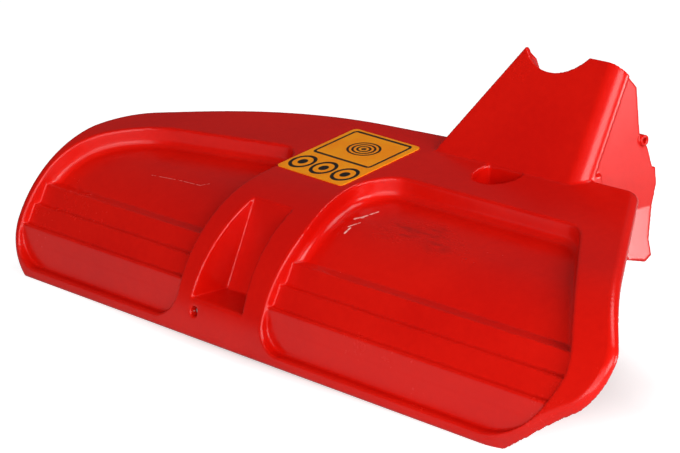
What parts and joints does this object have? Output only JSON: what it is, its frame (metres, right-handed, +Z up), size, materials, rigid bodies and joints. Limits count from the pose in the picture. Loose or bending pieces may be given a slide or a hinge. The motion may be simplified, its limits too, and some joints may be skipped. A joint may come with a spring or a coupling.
{
  "type": "trimmer blade guard",
  "caption": "Moulded plastic hood that shields the cutter of a grass trimmer, with stepped panels in its curved face and a leaning tower cut out to clamp round the shaft.",
  "frame": {"origin": "where the axis of the shaft saddle crosses the plane of the tower's front face", "axes": "+X along the near rim to the right as seen from the user, +Y away from the user towards the back edge, +Z up"},
  "size_m": [0.3256, 0.14, 0.1091],
  "materials": {
    "red_plastic": "glossy red moulded plastic with light scratches",
    "sticker_film": "printed amber film with a plain black frame and plain rings"
  },
  "bodies": {
    "root": {"guard_shell": "red_plastic", "sticker": "sticker_film"}
  },
  "joints": []
}
